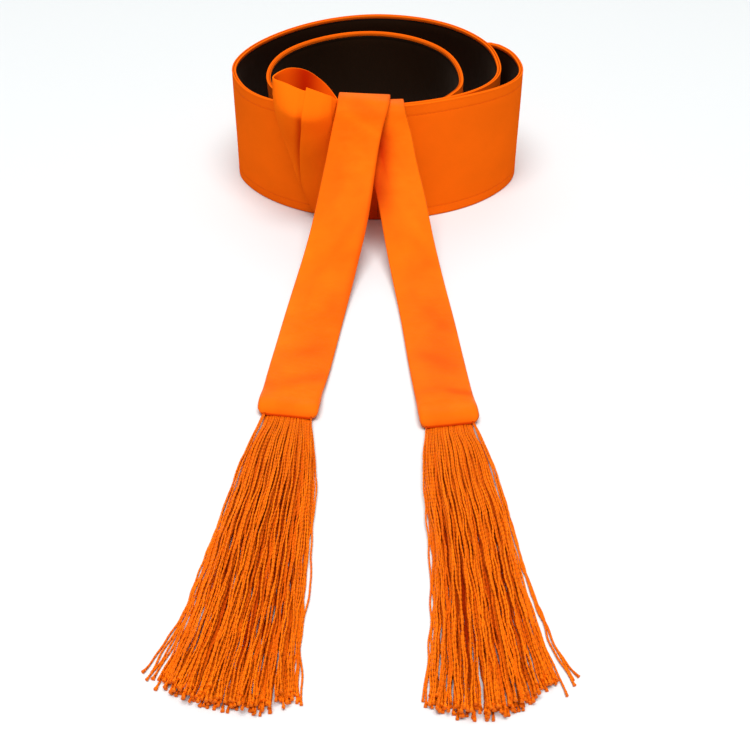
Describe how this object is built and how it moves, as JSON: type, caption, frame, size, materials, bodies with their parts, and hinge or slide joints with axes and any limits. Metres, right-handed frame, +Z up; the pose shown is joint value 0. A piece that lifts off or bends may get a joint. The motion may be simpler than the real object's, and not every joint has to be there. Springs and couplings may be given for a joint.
{
  "type": "satin belt",
  "caption": "Rolled orange satin belt with a smooth black lining, a half bow and two narrow ties that end in long corded fringes.",
  "frame": {"origin": "on the surface that the belt stands on, under the middle of its bounding box", "axes": "+Z up out of the roll, +Y towards the back of the roll and away from the fringes, +X to the right"},
  "size_m": [0.2132, 0.6812, 0.109],
  "materials": {
    "satin": "orange satin with a soft sheen",
    "lining": "smooth black lining, dull",
    "cord": "orange twisted cord, slightly lustrous"
  },
  "bodies": {
    "root": {"face_outer": "satin", "face_middle": "satin", "face_inner": "satin", "lining_outer": "lining", "lining_middle": "lining", "lining_inner": "lining", "tie_left": "satin", "tie_right": "satin", "bow_loop": "satin", "bow_pleat": "satin", "fringe_left": "cord", "fringe_right": "cord"}
  },
  "joints": []
}
